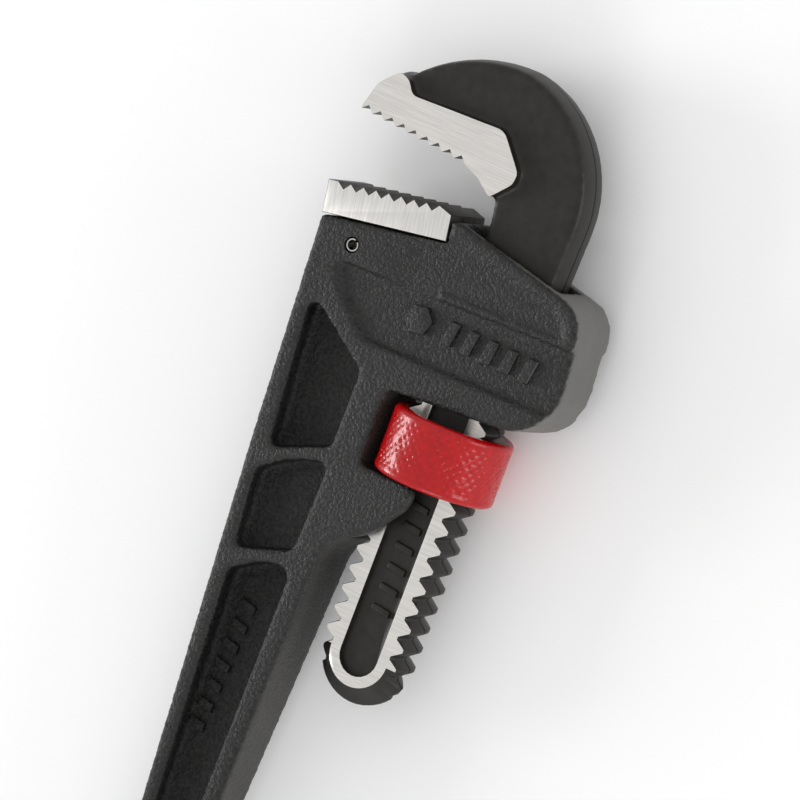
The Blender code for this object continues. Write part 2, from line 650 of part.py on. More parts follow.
def make_wrench():
    clear_scene()
    origin = add_empty("wrench_origin", None, (0, 0, 0))
    make_frame(origin)
    make_heel_jaw(origin)
    make_heel_jaw_pin(origin)
    make_coil_spring(origin)
    rock_pivot = add_empty("rock_pivot", origin, (*shank_point(-NUT_RADIUS, NUT_TOP), 0), -SHANK_TILT)
    shank_axis = add_empty("shank_axis", rock_pivot, (NUT_RADIUS, -NUT_TOP, 0))
    make_flat_spring(shank_axis)
    make_hook_jaw(shank_axis)
    make_nut(shank_axis)
    stand_on_floor(origin)


make_wrench()
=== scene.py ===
# %% [markdown]
# # A pipe wrench, dressed for a studio shot
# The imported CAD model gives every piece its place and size. This lesson builds the looks around it:
# a sand-cast handle, two steel jaws, an enamelled nut and the small springs behind it.
# Each new piece stands in for one CAD piece and rides on the same moving body.

# %% Load the frame
import json
from math import atan2, ceil, cos, pi, radians, sin

import bmesh
import bpy
from mathutils import Matrix, Vector, noise
from mathutils.bvhtree import BVHTree


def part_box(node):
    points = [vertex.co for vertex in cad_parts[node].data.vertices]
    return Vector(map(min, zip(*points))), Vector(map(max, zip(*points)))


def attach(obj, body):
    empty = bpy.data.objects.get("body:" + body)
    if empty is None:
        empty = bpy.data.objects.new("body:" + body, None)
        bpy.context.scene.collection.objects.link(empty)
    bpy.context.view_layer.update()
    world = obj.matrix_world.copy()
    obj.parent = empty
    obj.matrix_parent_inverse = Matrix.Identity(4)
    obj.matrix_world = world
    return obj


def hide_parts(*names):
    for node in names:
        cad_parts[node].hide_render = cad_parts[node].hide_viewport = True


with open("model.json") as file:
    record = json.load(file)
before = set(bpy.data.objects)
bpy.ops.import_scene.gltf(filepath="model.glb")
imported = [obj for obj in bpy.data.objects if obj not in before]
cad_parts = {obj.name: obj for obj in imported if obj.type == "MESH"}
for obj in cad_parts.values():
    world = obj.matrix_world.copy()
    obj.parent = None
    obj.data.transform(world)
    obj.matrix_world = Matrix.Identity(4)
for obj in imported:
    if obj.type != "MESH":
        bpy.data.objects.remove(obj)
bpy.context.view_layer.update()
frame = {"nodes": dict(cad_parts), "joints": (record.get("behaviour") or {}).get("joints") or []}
MM = 0.001

# %% [markdown]
# Two sets of axes are enough for the whole tool. The seat axes start at the outer lower corner of
# the heel jaw, on the middle plane. The shank axes start on the shank's axis just above the nut and
# lean with the shank. Both are read from the frame, so they follow the CAD model.

# %% Seat axes and shank axes
HEEL_HEIGHT = 7 * MM
heel_low, heel_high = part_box("heel_jaw")
seat_corner = Vector((heel_low.x, heel_high.y - HEEL_HEIGHT, (heel_low.z + heel_high.z) / 2))
SEAT = Matrix.Translation(seat_corner)

joints = {joint["name"]: joint for joint in frame["joints"]}
along_shank = Vector(joints["jaw_slide"]["axis"])
across_shank = Vector((along_shank.y, -along_shank.x, 0))
SHANK = Matrix.Identity(4)
SHANK.col[0] = (*across_shank, 0)
SHANK.col[1] = (*along_shank, 0)
NUT_TOP = -1.1 * MM
nut_face = Vector(joints["nut_spin"]["pos_m"])
SHANK.col[3] = (*(nut_face - along_shank * NUT_TOP), 1)
shank_lean = atan2(along_shank.x, along_shank.y)
print("the shank leans", round(shank_lean * 180 / pi, 2), "degrees")

# %% [markdown]
# ## Mesh helpers
# Every piece passes through the same few steps: start a bmesh, shape it with operators, merge its
# doubles, turn its normals outwards and make it an object. Modifiers such as Remesh and Boolean are
# baked into the mesh where a later step has to cut the result.

# %% From bmesh to object and back
def make_piece(name, shape):
    """Close a bmesh up and link it as a new object."""
    bmesh.ops.remove_doubles(shape, verts=shape.verts, dist=0.001 * MM)
    bmesh.ops.recalc_face_normals(shape, faces=shape.faces)
    mesh = bpy.data.meshes.new(name)
    shape.to_mesh(mesh)
    shape.free()
    piece = bpy.data.objects.new(name, mesh)
    bpy.context.scene.collection.objects.link(piece)
    return piece


def copy_of_node(node):
    """Start a bmesh from a CAD node, its loose triangles merged into one skin of flat faces."""
    shape = bmesh.new()
    shape.from_mesh(frame["nodes"][node].data)
    bmesh.ops.remove_doubles(shape, verts=shape.verts, dist=0.001 * MM)
    bmesh.ops.dissolve_limit(shape, angle_limit=radians(0.5), verts=shape.verts, edges=shape.edges)
    return shape


def bake_modifiers(piece):
    """Turn a piece's modifiers into plain mesh."""
    bpy.context.view_layer.update()
    evaluated = piece.evaluated_get(bpy.context.evaluated_depsgraph_get())
    mesh = bpy.data.meshes.new_from_object(evaluated)
    piece.modifiers.clear()
    piece.data = mesh
    return piece


def use_tool(piece, tool, operation):
    """Add or remove the tool's volume, then throw the tool away."""
    step = piece.modifiers.new(operation, "BOOLEAN")
    step.operation = operation
    step.solver = "EXACT"
    step.object = tool
    bake_modifiers(piece)
    bpy.data.objects.remove(tool, do_unlink=True)
    return piece


def soften(piece, voxel, passes):
    """Give a piece the rounded edges and filled corners of a casting or a forging.

    The piece is turned askew first, because cells that lie almost along an edge ripple it. Its new
    skin is then drawn back onto the old one, so that flat faces stay flat.
    """
    tilt = Matrix.Rotation(radians(9), 4, "X") @ Matrix.Rotation(radians(6), 4, "Y")
    askew = tilt @ Matrix.Rotation(radians(34), 4, "Z")
    piece.data.transform(askew)
    skin = bpy.data.objects.new("old_skin", piece.data.copy())
    bpy.context.scene.collection.objects.link(skin)
    remesh = piece.modifiers.new("Remesh", "REMESH")
    remesh.mode = "VOXEL"
    remesh.voxel_size = voxel
    draw_back = piece.modifiers.new("Draw_back", "SHRINKWRAP")
    draw_back.target = skin
    smooth = piece.modifiers.new("Smooth", "SMOOTH")
    smooth.factor = 0.5
    smooth.iterations = passes
    bake_modifiers(piece)
    bpy.data.objects.remove(skin, do_unlink=True)
    piece.data.transform(askew.inverted())
    print(piece.name, "has", len(piece.data.polygons), "faces after softening")
    return piece


# %% Outlines pulled up into solids
def add_prism(shape, points, low, high, place):
    """Add a solid to a bmesh: an outline pulled up from height low to height high."""
    corners = [shape.verts.new(place @ Vector((x, y, low))) for x, y in points]
    base = shape.faces.new(corners)
    grown = bmesh.ops.extrude_face_region(shape, geom=[base])["geom"]
    risen = [item for item in grown if isinstance(item, bmesh.types.BMVert)]
    bmesh.ops.translate(shape, verts=risen, vec=(0, 0, high - low))


def shade_by_angle(piece, angle):
    """Smooth the round faces and keep the edges sharper than the angle."""
    piece.data.shade_smooth()
    piece.data.set_sharp_from_angle(angle=angle)


# %% [markdown]
# ## Material helpers
# Colours are written as the sRGB hex values that a paint chart would give, and turned to linear
# light once. One helper adds a node, sets it up and links it. Patterns read Object coordinates,
# which are metres on these pieces, so a scale is one over the size of a grain.

# %% Colour and nodes
def linear(hex_colour):
    """Turn an sRGB hex colour into the linear colour that a shader takes."""
    channels = [int(hex_colour[start:start + 2], 16) / 255 for start in (1, 3, 5)]
    return (*[c / 12.92 if c <= 0.04045 else ((c + 0.055) / 1.055) ** 2.4 for c in channels], 1)


def new_material(name, colour, roughness, metallic):
    """Start a material and return its tree and its shader."""
    material = bpy.data.materials.new(name)
    material.use_nodes = True
    tree = material.node_tree
    shader = tree.nodes["Principled BSDF"]
    shader.inputs["Base Color"].default_value = linear(colour)
    shader.inputs["Roughness"].default_value = roughness
    shader.inputs["Metallic"].default_value = metallic
    return material, tree, shader


def add_node(tree, kind, settings, inputs):
    """Add a node; an input that is another node's socket is linked, any other value is set."""
    node = tree.nodes.new(kind)
    for name, value in settings.items():
        setattr(node, name, value)
    for name, value in inputs.items():
        if isinstance(value, bpy.types.NodeSocket):
            tree.links.new(value, node.inputs[name])
        else:
            node.inputs[name].default_value = value
    return node


def two_colours(tree, factor, low, dark, high, light):
    """Add a ramp between two colours and return its colour socket."""
    ramp = add_node(tree, "ShaderNodeValToRGB", {}, {"Fac": factor})
    ramp.color_ramp.elements[0].position = low
    ramp.color_ramp.elements[0].color = linear(dark)
    ramp.color_ramp.elements[1].position = high
    ramp.color_ramp.elements[1].color = linear(light)
    return ramp.outputs["Color"]


# %% [markdown]
# ## Materials
# The handle is malleable iron cast in sand and coated with a thin black powder coat. The coat
# follows the sand grains of the mould, well under a millimetre across, so the eye sees a speckle of
# lit grain tops and dark hollows rather than a flat black. Two kinds of painted light vary over the
# casting: a painted shade in the pockets, where the specular reflection is weaker than on the outer
# faces, and a painted light on the right-hand sides, which get a lighter grey colour, weaker grain and
# stronger specular. The height above the middle plane drives the first and an attribute of the mesh the
# second.

# %% Sand-cast iron under a black coat
POCKET_FLOOR = 3 * MM
LIT_FACE_HEIGHT = 8 * MM
MIX_A, MIX_B, MIX_RESULT = 6, 7, 2     # the colour sockets of a mix node


def sand_cast_coat():
    """Coat of cast iron, with painted shade in the pockets and painted light on the right-hand sides."""
    material, tree, shader = new_material("cast_iron_black_powder_coat", "#201f1e", 0.5, 0.0)
    place = add_node(tree, "ShaderNodeTexCoord", {}, {}).outputs["Object"]
    grain = add_node(tree, "ShaderNodeTexNoise", {},
                     {"Vector": place, "Scale": 1 / (0.7 * MM), "Detail": 2.5, "Roughness": 0.6})
    patches = add_node(tree, "ShaderNodeTexNoise", {},
                       {"Vector": place, "Scale": 1 / (6 * MM), "Detail": 2.0})
    painted_light_flank = add_node(tree, "ShaderNodeAttribute", {"attribute_name": "painted_light_flank"}, {}).outputs["Fac"]
    depth = add_node(tree, "ShaderNodeSeparateXYZ", {}, {"Vector": place}).outputs["Z"]
    level = add_node(tree, "ShaderNodeMath", {"operation": "SUBTRACT"}, {0: depth, 1: seat_corner.z})
    height = add_node(tree, "ShaderNodeMath", {"operation": "ABSOLUTE"}, {0: level.outputs[0]})
    # painted shade: the specular reflection is weaker low down in the pockets and full on the outer faces
    pocket_shade_fade = add_node(tree, "ShaderNodeMapRange", {"interpolation_type": "SMOOTHSTEP"},
                      {"Value": height.outputs[0], "From Min": POCKET_FLOOR, "From Max": LIT_FACE_HEIGHT})
    painted_light_mask = add_node(tree, "ShaderNodeMath", {"operation": "MAXIMUM"},
                     {0: pocket_shade_fade.outputs["Result"], 1: painted_light_flank})
    tint = two_colours(tree, grain.outputs["Fac"], 0.36, "#0d0d0c", 0.68, "#252423")
    # painted light: a lighter grey base colour on the right-hand sides that face the light
    side_light_tint = add_node(tree, "ShaderNodeMix", {"data_type": "RGBA"},
                    {0: painted_light_flank, MIX_A: tint, MIX_B: linear("#5a5956")})
    tree.links.new(side_light_tint.outputs[MIX_RESULT], shader.inputs["Base Color"])
    # this specular level stands for painted light and shade, not for a change of finish
    sheen = add_node(tree, "ShaderNodeMapRange", {},
                     {"Value": painted_light_mask.outputs[0], "To Min": 0.2, "To Max": 0.42})
    tree.links.new(sheen.outputs["Result"], shader.inputs["Specular IOR Level"])
    gloss = add_node(tree, "ShaderNodeMapRange", {},
                     {"Value": patches.outputs["Fac"], "To Min": 0.36, "To Max": 0.54})
    tree.links.new(gloss.outputs["Result"], shader.inputs["Roughness"])
    relief = add_node(tree, "ShaderNodeMapRange", {}, {"Value": painted_light_flank, "To Min": 1.0, "To Max": 0.25})
    bump = add_node(tree, "ShaderNodeBump", {},
                    {"Height": grain.outputs["Fac"], "Strength": relief.outputs["Result"],
                     "Distance": 0.42 * MM})
    tree.links.new(bump.outputs["Normal"], shader.inputs["Normal"])
    return material


CAST_COAT = sand_cast_coat()

# %% [markdown]
# The hook jaw is forged alloy steel with a black oxide finish. Its skin is much finer than the
# casting: a satin black with a faint cloudy mottle. The two halves of the forging die meet on the
# middle plane and leave a trimmed seam there, a dark shallow line that a band around the height of
# that plane draws.

# %% Forged steel, black oxide
SEAM_WIDTH = 0.5 * MM


def black_oxide():
    """Satin black of a forging, with the seam of its die."""
    material, tree, shader = new_material("forged_steel_black_oxide", "#1e1d1b", 0.4, 0.0)
    place = add_node(tree, "ShaderNodeTexCoord", {}, {}).outputs["Object"]
    mottle = add_node(tree, "ShaderNodeTexNoise", {},
                      {"Vector": place, "Scale": 1 / (2.2 * MM), "Detail": 5.0, "Roughness": 0.65})
    tint = two_colours(tree, mottle.outputs["Fac"], 0.35, "#161512", 0.7, "#24211d")
    gloss = add_node(tree, "ShaderNodeMapRange", {},
                     {"Value": mottle.outputs["Fac"], "To Min": 0.36, "To Max": 0.52})
    tree.links.new(gloss.outputs["Result"], shader.inputs["Roughness"])
    bump = add_node(tree, "ShaderNodeBump", {},
                    {"Height": mottle.outputs["Fac"], "Strength": 0.6, "Distance": 0.06 * MM})
    height = add_node(tree, "ShaderNodeSeparateXYZ", {}, {"Vector": place}).outputs["Z"]
    band = add_node(tree, "ShaderNodeMath", {"operation": "COMPARE"},
                    {0: height, 1: seat_corner.z, 2: SEAM_WIDTH / 2})
    seam = add_node(tree, "ShaderNodeBump", {"invert": True},
                    {"Height": band.outputs[0], "Normal": bump.outputs["Normal"], "Strength": 1.0,
                     "Distance": 0.25 * MM})
    tree.links.new(seam.outputs["Normal"], shader.inputs["Normal"])
    scored = add_node(tree, "ShaderNodeMix", {"data_type": "RGBA"},
                      {0: band.outputs[0], MIX_A: tint, MIX_B: linear("#050505")})
    tree.links.new(scored.outputs[MIX_RESULT], shader.inputs["Base Color"])
    shine = add_node(tree, "ShaderNodeMapRange", {},
                     {"Value": band.outputs[0], "To Min": 0.36, "To Max": 0.1})
    tree.links.new(shine.outputs["Result"], shader.inputs["Specular IOR Level"])
    return material


BLACK_OXIDE = black_oxide()

# %% [markdown]
# The flat faces of both jaws are ground after hardening. A grinding wheel leaves hundreds of
# parallel scratches, about a tenth of a millimetre apart; they are drawn a little coarser here so
# that they show. A long thin noise does it: short across the scratches and long beside them.

# %% Ground steel with its wheel marks
def ground_steel(name, colour, along_angle, roughness):
    """Bright steel with scratches that run along the given angle."""
    material, tree, shader = new_material(name, colour, roughness, 1.0)
    place = add_node(tree, "ShaderNodeTexCoord", {}, {}).outputs["Object"]
    turned = add_node(tree, "ShaderNodeMapping", {"vector_type": "TEXTURE"},
                      {"Vector": place, "Rotation": (0, 0, along_angle), "Scale": (9 * MM, 0.2 * MM, 1 * MM)})
    marks = add_node(tree, "ShaderNodeTexNoise", {},
                     {"Vector": turned.outputs["Vector"], "Scale": 1.0, "Detail": 4.0, "Roughness": 0.7})
    tint = two_colours(tree, marks.outputs["Fac"], 0.3, "#cfccc8", 0.7, colour)
    tree.links.new(tint, shader.inputs["Base Color"])
    gloss = add_node(tree, "ShaderNodeMapRange", {},
                     {"Value": marks.outputs["Fac"], "To Min": roughness - 0.08, "To Max": roughness + 0.1})
    tree.links.new(gloss.outputs["Result"], shader.inputs["Roughness"])
    bump = add_node(tree, "ShaderNodeBump", {},
                    {"Height": marks.outputs["Fac"], "Strength": 0.3, "Distance": 0.015 * MM})
    tree.links.new(bump.outputs["Normal"], shader.inputs["Normal"])
    return material


GROUND_HEEL = ground_steel("hardened_steel_ground_heel", "#f3f1ee", pi / 2, 0.34)
GROUND_HOOK = ground_steel("hardened_steel_ground_hook", "#eeebe7", -shank_lean, 0.34)

# %% [markdown]
# Teeth and ends are milled and keep the dark scale of the heat treatment. The red nut is steel
# under a thick glossy enamel, which rounds off the knurl beneath it. The springs are bright wire
# and strip.

# %% Heat scale, enamel and spring steel
def heat_scale():
    """Dark, clouded scale of hardened steel."""
    material, tree, shader = new_material("hardened_steel_dark_scale", "#3a3835", 0.45, 0.4)
    place = add_node(tree, "ShaderNodeTexCoord", {}, {}).outputs["Object"]
    clouds = add_node(tree, "ShaderNodeTexNoise", {},
                      {"Vector": place, "Scale": 1 / (1.5 * MM), "Detail": 4.0})
    tint = two_colours(tree, clouds.outputs["Fac"], 0.35, "#262422", 0.7, "#474440")
    tree.links.new(tint, shader.inputs["Base Color"])
    bump = add_node(tree, "ShaderNodeBump", {},
                    {"Height": clouds.outputs["Fac"], "Strength": 0.4, "Distance": 0.04 * MM})
    tree.links.new(bump.outputs["Normal"], shader.inputs["Normal"])
    return material


def red_enamel():
    """Thick glossy red, a little lumpy."""
    material, tree, shader = new_material("steel_red_gloss_enamel", "#a80207", 0.24, 0.0)
    shader.inputs["Specular IOR Level"].default_value = 0.42
    place = add_node(tree, "ShaderNodeTexCoord", {}, {}).outputs["Object"]
    flow = add_node(tree, "ShaderNodeTexNoise", {},
                    {"Vector": place, "Scale": 1 / (1.2 * MM), "Detail": 3.0})
    tint = two_colours(tree, flow.outputs["Fac"], 0.3, "#a00106", 0.72, "#b4040a")
    tree.links.new(tint, shader.inputs["Base Color"])
    bump = add_node(tree, "ShaderNodeBump", {},
                    {"Height": flow.outputs["Fac"], "Strength": 0.5, "Distance": 0.15 * MM})
    tree.links.new(bump.outputs["Normal"], shader.inputs["Normal"])
    return material


def spring_steel():
    """Bright drawn wire and strip."""
    material, tree, shader = new_material("spring_steel_bright", "#cfccc7", 0.28, 1.0)
    place = add_node(tree, "ShaderNodeTexCoord", {}, {}).outputs["Object"]
    drawn = add_node(tree, "ShaderNodeTexNoise", {},
                     {"Vector": place, "Scale": 1 / (0.8 * MM), "Detail": 3.0})
    gloss = add_node(tree, "ShaderNodeMapRange", {},
                     {"Value": drawn.outputs["Fac"], "To Min": 0.2, "To Max": 0.4})
    tree.links.new(gloss.outputs["Result"], shader.inputs["Roughness"])
    tint = two_colours(tree, drawn.outputs["Fac"], 0.3, "#b5b2ad", 0.7, "#d8d5d0")
    tree.links.new(tint, shader.inputs["Base Color"])
    return material


DARK_SCALE = heat_scale()
RED_ENAMEL = red_enamel()
SPRING_STEEL = spring_steel()
print("materials:", sorted(material.name for material in bpy.data.materials))

# %% [markdown]
# ## The handle and housing
# A sand casting has no sharp edge anywhere: its corners come out with a radius of about a
# millimetre and its pockets with filled corners. Bevelling a shape with this many crossing pockets
# is fragile, so the CAD skin is remeshed in cells of a little over half a millimetre and smoothed
# instead.

# %% Cast the frame
CAST_CELL = 0.58 * MM
PIN_SEAT = 1.66 * MM
pin_low, pin_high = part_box("heel_jaw_pin")
pin_centre = Vector(((pin_low.x + pin_high.x) / 2, (pin_low.y + pin_high.y) / 2, seat_corner.z))


def round_bar(radius, length):
    """Return a bmesh of a plain bar on the pin's axis, to plug its hole or to drill it."""
    bar = bmesh.new()
    bmesh.ops.create_cone(bar, cap_ends=True, segments=48, radius1=radius, radius2=radius, depth=length,
                          matrix=Matrix.Translation(pin_centre))
    return bar


casting = make_piece("frame_casting", copy_of_node("handle_frame"))
use_tool(casting, make_piece("hole_plug", round_bar(PIN_SEAT * 1.5, 16 * MM)), "UNION")
soften(casting, CAST_CELL, 10)

# %% [markdown]
# The seat of the heel jaw and the hole of its pin are machined after the casting has cooled, so
# they are cut here after the softening and keep their crisp edges.

# %% Mill the seat and drill the pin hole
SEAT_LENGTH = 28.25 * MM
SEAT_GAP = 0.15 * MM
MILL_RUN_OUT = 3 * MM
MILL_TOP = 9 * MM
MILL_REACH = 12 * MM
seat_mill = bmesh.new()
add_prism(seat_mill, [(-MILL_RUN_OUT, SEAT_GAP), (SEAT_LENGTH, SEAT_GAP), (SEAT_LENGTH, MILL_TOP),
                      (-MILL_RUN_OUT, MILL_TOP)], -MILL_REACH, MILL_REACH, SEAT)
use_tool(casting, make_piece("seat_mill", seat_mill), "DIFFERENCE")
use_tool(casting, make_piece("drill", round_bar(PIN_SEAT, 20 * MM)), "DIFFERENCE")

# %% [markdown]
# A raised rim runs along the top of the housing. On the other side of it the face falls away
# towards the rim's foot without any step, so the CAD model's small step there is smoothed out.

# %% Let the face fall away towards the rim
FACE = 8 * MM
BROW_DEPTH = 0.7 * MM
FALL_START = 12 * MM
FALL_END = 29 * MM
PANEL_CORNER = Vector((5.2 * MM, -8 * MM))
PANEL_SLOPE = 0.126


def smooth_step(value):
    """Rise from 0 to 1 as the value does, with level ends."""
    value = min(1, max(0, value))
    return value * value * (3 - 2 * value)


to_seat = SEAT.inverted()
for point in casting.data.vertices:
    spot = to_seat @ point.co
    panel_top = PANEL_CORNER.y - (spot.x - PANEL_CORNER.x) * PANEL_SLOPE
    if FALL_START < spot.x < FALL_END and panel_top - 0.2 * MM < spot.y < 0.6 * MM:
        step_edge = 24 * MM + (spot.y + 9 * MM) * 0.52
        drop = BROW_DEPTH * smooth_step((spot.x - FALL_START) / (step_edge - FALL_START))
        if abs(spot.z) > FACE - drop:
            point.co.z = seat_corner.z + (FACE - drop) * (1 if spot.z > 0 else -1)

# %% [markdown]
# Plain raised marks are cast in: a hexagon and five slanted bars on the head panel, and short bars
# in the long pocket, on both faces.

# %% Raise plain marks on both faces
PANEL_HEIGHT = 6.8 * MM
POCKET_HEIGHT = 2.6 * MM
CAST_MARK = 0.8 * MM
MARK_SINK = 0.6 * MM


def slanted_bar(centre, width, height, slant, turn):
    """Return the four corners of a leaning bar, turned about its centre."""
    corners = [(-width - slant, -height), (width - slant, -height), (width + slant, height),
               (slant - width, height)]
    return [Vector(centre) + Matrix.Rotation(turn, 2) @ Vector((x / 2, y / 2)) for x, y in corners]


def mark_outlines(first, step, count, width, height, turn):
    """Return the outlines of a row of slanted bars."""
    return [slanted_bar(Vector(first) + Vector(step) * index, width, height, width / 3, turn)
            for index in range(count)]


def raise_marks(piece, outlines, face_height, rise, place):
    """Union raised marks onto the front and the back of a piece, their edges rounded."""
    marks = bmesh.new()
    for outline in outlines:
        for side in (1, -1):
            low, high = sorted((side * (face_height - MARK_SINK), side * (face_height + rise)))
            add_prism(marks, outline, low, high, place)
    bmesh.ops.recalc_face_normals(marks, faces=marks.faces)
    bmesh.ops.bevel(marks, geom=marks.edges[:], offset=0.25 * MM, segments=3, profile=0.5,
                    affect="EDGES", material=-1, clamp_overlap=True)
    return use_tool(piece, make_piece("marks", marks), "UNION")


HEXAGON_CENTRE = Vector((25.5 * MM, -16 * MM))
HEXAGON_RADIUS = 3.2 * MM
hexagon = [HEXAGON_CENTRE + HEXAGON_RADIUS * Vector((cos(corner * pi / 3), sin(corner * pi / 3)))
           for corner in range(6)]
panel_bars = mark_outlines((33 * MM, -17.3 * MM), (4.5 * MM, -0.85 * MM), 5, 2.3 * MM, 5 * MM,
                           radians(-10))
raise_marks(casting, [hexagon] + panel_bars, PANEL_HEIGHT, CAST_MARK, SEAT)
pocket_bars = mark_outlines((-0.2 * MM, -80 * MM), (-0.95 * MM, -4.2 * MM), 7, 1.8 * MM, 3.8 * MM,
                            radians(78))
raise_marks(casting, pocket_bars, POCKET_HEIGHT, CAST_MARK, SEAT)
casting.data.materials.clear()
casting.data.materials.append(CAST_COAT)

# %% [markdown]
# The painted light from the right goes on the side walls that look to the right and face no other
# part of the casting. A ray sent out from each point tells them from the walls of the pockets. The
# housing's square end gets the full painted light, the handle only a little.

# %% Find the sides that get the painted light
WALL_REACH = 7.5 * MM
HANDLE_SIDE_LIGHT = 0.3
SIDE_LIGHT_START = 38 * MM
SIDE_LIGHT_BLEND = 8 * MM
skin = BVHTree.FromPolygons([point.co for point in casting.data.vertices],
                            [face.vertices for face in casting.data.polygons])
painted_light_flank = casting.data.attributes.new("painted_light_flank", "FLOAT", "POINT")
for point in casting.data.vertices:
    # painted light: right-facing walls that nothing shades get the lighter colour, fully at the housing's end
    sideways = smooth_step((0.75 - abs(point.normal.z)) / 0.4) * smooth_step(point.normal.x / 0.4)
    near_end = smooth_step((point.co.x - seat_corner.x - SIDE_LIGHT_START) / SIDE_LIGHT_BLEND)
    sideways *= HANDLE_SIDE_LIGHT + (1 - HANDLE_SIDE_LIGHT) * near_end
    if sideways > 0 and abs(point.co.z - seat_corner.z) < WALL_REACH:
        outwards = Vector((point.normal.x, point.normal.y, 0)).normalized()
        hit = skin.ray_cast(point.co + outwards * 0.3 * MM, outwards, 40 * MM)[0]
        painted_light_flank.data[point.index].value = 0.0 if hit else sideways
shade_by_angle(casting, radians(50))
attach(casting, "handle")
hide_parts("handle_frame")
print("the casting has", len(casting.data.polygons), "faces")

# %% [markdown]
# ## The heel jaw
# This block is milled, hardened and ground on its two flats, so its shape is already right in the
# CAD model. It only needs the small broken edge that every ground part has, bright flats and dark
# teeth. A face's direction tells which is which.

# %% Grind the heel jaw
BROKEN_EDGE = 0.12 * MM


def break_edges(shape, width):
    """Bevel every edge sharper than twenty degrees."""
    sharp = [edge for edge in shape.edges if edge.is_manifold and edge.calc_face_angle() > radians(20)]
    bmesh.ops.bevel(shape, geom=sharp, offset=width, segments=2, profile=0.5, affect="EDGES",
                    material=-1, clamp_overlap=True)


def brighten_flats(piece, bright, dark):
    """Put the bright metal on the faces that look straight up or down, the dark one elsewhere."""
    piece.data.materials.clear()
    piece.data.materials.append(bright)
    piece.data.materials.append(dark)
    for face in piece.data.polygons:
        face.material_index = 0 if abs(face.normal.z) > 0.97 else 1


heel_shape = copy_of_node("heel_jaw")
break_edges(heel_shape, BROKEN_EDGE)
heel = make_piece("heel_jaw_ground", heel_shape)
brighten_flats(heel, GROUND_HEEL, DARK_SCALE)
shade_by_angle(heel, radians(30))
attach(heel, "handle")
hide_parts("heel_jaw")

# %% [markdown]
# ## The split pin
# A strip of spring steel rolled into a tube with a slit, driven through the housing to hold the
# heel jaw. Spinning the wall's section nearly all the way round leaves the slit open, and the
# section's cut corners make the chamfer that guides the pin in.

# %% Roll the pin
PIN_SLIT = radians(30)
pin_foot = Vector((pin_centre.x, pin_centre.y, 0))
pin_radius = (pin_high.x - pin_low.x) / 2
PIN_WALL = 0.55 * MM
PIN_LEAD = 0.3 * MM
wall = [(pin_radius - PIN_WALL, pin_low.z), (pin_radius - PIN_LEAD, pin_low.z),
        (pin_radius, pin_low.z + 2 * PIN_LEAD), (pin_radius, pin_high.z - 2 * PIN_LEAD),
        (pin_radius - PIN_LEAD, pin_high.z), (pin_radius - PIN_WALL, pin_high.z)]
pin_shape = bmesh.new()
slit_end = radians(50) + PIN_SLIT / 2
rim = [pin_shape.verts.new(pin_foot + Vector((r * cos(slit_end), r * sin(slit_end), z))) for r, z in wall]
bmesh.ops.spin(pin_shape, geom=[pin_shape.faces.new(rim)], cent=pin_foot, axis=(0, 0, 1),
               angle=2 * pi - PIN_SLIT, steps=44)
pin = make_piece("roll_pin", pin_shape)
pin.data.materials.append(SPRING_STEEL)
shade_by_angle(pin, radians(30))
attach(pin, "handle")
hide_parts("heel_jaw_pin")
print("pin diameter", round(2 * pin_radius / MM, 2), "mm")

# %% [markdown]
# ## The hook jaw
# A forging is rounded everywhere except where it has been machined. So the hook is made in the same
# order as the real one: forge it oversize and round, grind its two flats, mill its teeth, and join
# the crisp screw-cut shank last.

# %% Forge the hook, oversize across its flats
FORGE_CELL = 0.42 * MM
GRIND_ALLOWANCE = 1 * MM
FLAT_HEIGHT = 7 * MM
TOOTH_PITCH = 2.85 * MM
TOOTH_DEPTH = 1.3 * MM
HOOK_TEETH = 9
TEETH_SLOPE = radians(4.4)
NOSE_TIP = Vector((-41.2 * MM, 50.1 * MM))
ROW_END = Vector((-14.9 * MM, 47.6 * MM))
INNER_EDGE = [Vector((-11.1 * MM, 46.1 * MM)), Vector((-7.6 * MM, 43.5 * MM))]

middle = seat_corner.z
forging_shape = copy_of_node("hook_jaw")
for side in (1, -1):
    flats = [v for v in forging_shape.verts if side * (v.co.z - middle) > FLAT_HEIGHT - 0.1 * MM]
    bmesh.ops.translate(forging_shape, verts=flats, vec=(0, 0, side * GRIND_ALLOWANCE))
forging = make_piece("hook_forging", forging_shape)

row = Vector((cos(TEETH_SLOPE), -sin(TEETH_SLOPE)))
into = Vector((-row.y, row.x))
first_tip = ROW_END - row * TOOTH_PITCH * HOOK_TEETH
stock = bmesh.new()
reach = 2 * TOOTH_DEPTH
add_prism(stock, [NOSE_TIP - into * TOOTH_DEPTH, ROW_END - into * TOOTH_DEPTH,
                  INNER_EDGE[0] - into * TOOTH_DEPTH, INNER_EDGE[0] + into * reach,
                  ROW_END + into * reach, NOSE_TIP + into * reach + row * TOOTH_DEPTH],
          -FLAT_HEIGHT - GRIND_ALLOWANCE, FLAT_HEIGHT + GRIND_ALLOWANCE, SHANK)
use_tool(forging, make_piece("tooth_stock", stock), "UNION")
soften(forging, FORGE_CELL, 26)

# %% [markdown]
# A forging has draft: its sides lean in from the seam so that it drops out of the die. The outer
# side of the hook is leaned in the same way, fading out towards the middle of its width.

# %% Give the hook's back its draft
DRAFT = 0.7 * MM
HALF_HOOK = 4.75 * MM
BACK_CENTRE = Vector((-13.4 * MM, 44.3 * MM))
BACK_LINE = 11.8 * MM
to_shank = SHANK.inverted()
for point in forging.data.vertices:
    spot = to_shank @ point.co
    outwards = Vector((1, 0))
    inside = BACK_LINE - spot.x
    if spot.y > BACK_CENTRE.y:
        outwards = (spot.xy - BACK_CENTRE).normalized()
        inside = BACK_LINE - BACK_CENTRE.x - (spot.xy - BACK_CENTRE).length
    lean = DRAFT * min(1, abs(spot.z) / HALF_HOOK) ** 2 * smooth_step(1 - inside / (6 * MM))
    spot.xy -= outwards * lean
    point.co = SHANK @ spot

